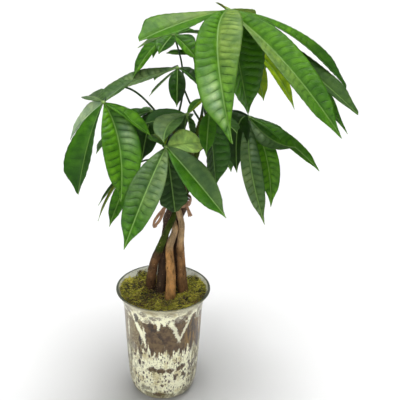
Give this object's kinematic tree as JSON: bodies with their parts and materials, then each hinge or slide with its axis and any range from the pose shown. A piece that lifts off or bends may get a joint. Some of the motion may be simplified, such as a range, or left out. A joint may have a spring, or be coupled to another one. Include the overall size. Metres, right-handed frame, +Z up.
{
  "type": "potted money tree",
  "caption": "Indoor money tree with a plaited trunk and palmate leaves, growing in moss in a flared silvered glass vase that stands on a flat base.",
  "frame": {"origin": "centre of the vase's flat base", "axes": "+Z up, -Y towards the front of the plant, +X to its right; the crown leans towards +X"},
  "size_m": [0.3303, 0.3712, 0.5435],
  "materials": {
    "silvered_glass": "glossy clear glass with mottled antique silvering behind it",
    "potting_soil": "matt, crumbly",
    "moss": "matt, fibrous",
    "bark": "matt bark, brown and tan, green higher up",
    "raffia": "matt, fibrous",
    "leaf": "semi-gloss, quilted between veins"
  },
  "bodies": {
    "root": {"glass_vase": "silvered_glass", "soil": "potting_soil", "moss": "moss", "stem_1": "bark", "stem_2": "bark", "stem_3": "bark", "stem_4": "bark", "stem_5": "bark", "raffia_tie": "raffia", "leaf_01": "leaf", "leaf_02": "leaf", "leaf_03": "leaf", "leaf_04": "leaf", "leaf_05": "leaf", "leaf_06": "leaf", "leaf_07": "leaf", "leaf_08": "leaf", "leaf_09": "leaf", "leaf_10": "leaf", "leaf_11": "leaf", "leaf_12": "leaf", "leaf_13": "leaf", "leaf_14": "leaf", "leaf_15": "leaf", "leaf_16": "leaf"}
  },
  "joints": []
}
